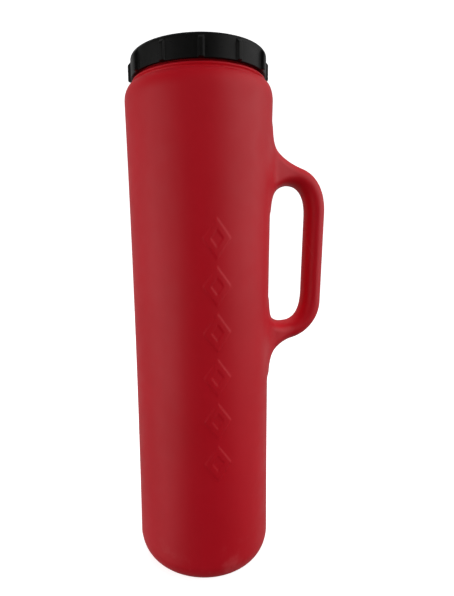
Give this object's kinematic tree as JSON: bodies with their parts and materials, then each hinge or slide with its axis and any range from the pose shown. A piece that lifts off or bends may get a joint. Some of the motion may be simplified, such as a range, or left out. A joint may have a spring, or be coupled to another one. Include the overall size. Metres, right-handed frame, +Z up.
{
  "type": "screw-cap storage tube",
  "caption": "Tall blow-moulded storage tube with a hollow side handle, a wide ribbed screw cap and a flat sealing ring.",
  "frame": {"origin": "centre of the flat base, on the tube's axis", "axes": "+Z up along the tube's axis towards the cap, +X towards the handle, -Y towards the side with the raised frames"},
  "size_m": [0.1852, 0.1288, 0.4602],
  "materials": {
    "red_polyethylene": "satin blow-moulded polyethylene with a faint skin texture",
    "black_cap_plastic": "semi-gloss injection-moulded plastic",
    "foam_liner": "matt closed-cell foam"
  },
  "bodies": {
    "tube": {"tube_body": "red_polyethylene"},
    "seal": {"cap_gasket": "foam_liner"},
    "cap": {"screw_cap": "black_cap_plastic"}
  },
  "joints": [
    {"name": "cap_lift", "type": "slide", "parent": "tube", "child": "seal", "axis": [0, 0, 1], "range_m": [0, 0.0178]},
    {"name": "cap_turn", "type": "hinge", "parent": "seal", "child": "cap", "pos_m": [0, 0, 0.4414], "axis": [0, 0, 1], "range_deg": [0, 1260]}
  ],
  "couplings": [
    {"joint": "cap_lift", "follows": "cap_turn", "m_per_rad": 0.00080851}
  ]
}
